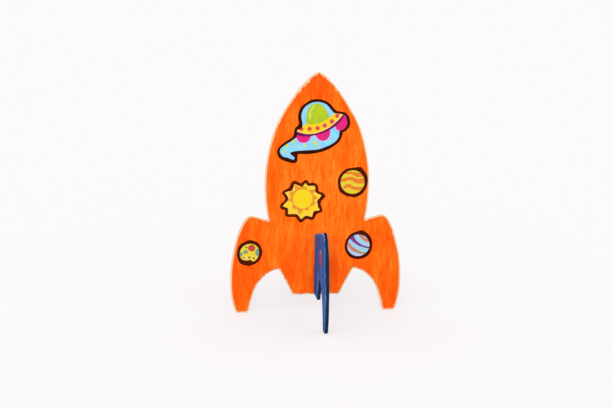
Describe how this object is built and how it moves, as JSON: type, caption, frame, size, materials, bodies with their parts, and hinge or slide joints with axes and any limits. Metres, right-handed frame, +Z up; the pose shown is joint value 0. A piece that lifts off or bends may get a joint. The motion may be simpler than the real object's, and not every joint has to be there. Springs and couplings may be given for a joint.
{
  "type": "slot-together wooden rocket",
  "caption": "Decorative rocket of two slotted plywood boards crossed at right angles, standing on four fin feet, with round and die-cut space stickers.",
  "frame": {"origin": "on the floor, under the line where the two boards cross", "axes": "+Z up to the nose tip, -Y out of the body board's decorated face, +X along the body board"},
  "size_m": [0.1732, 0.1732, 0.2417],
  "materials": {
    "orange_paint": "matte acrylic paint, brushed, bare wood edges",
    "blue_paint": "matte acrylic paint, brushed, bare wood chips on the corners",
    "saucer_print": "satin printed paper",
    "sun_print": "satin printed paper",
    "wavy_print": "satin printed paper",
    "spotted_print": "satin printed paper",
    "striped_print": "satin printed paper",
    "spot_print": "satin printed paper"
  },
  "bodies": {
    "fin_board": {"fin_panel": "blue_paint", "sticker_fin_spot": "spot_print"},
    "body_board": {"body_panel": "orange_paint", "sticker_saucer": "saucer_print", "sticker_sun": "sun_print", "sticker_wavy_planet": "wavy_print", "sticker_spotted_planet": "spotted_print", "sticker_striped_planet": "striped_print"}
  },
  "joints": [
    {"name": "body_lift", "type": "slide", "parent": "fin_board", "child": "body_board", "axis": [0, 0, 1], "range_m": [0, 0.065]}
  ]
}
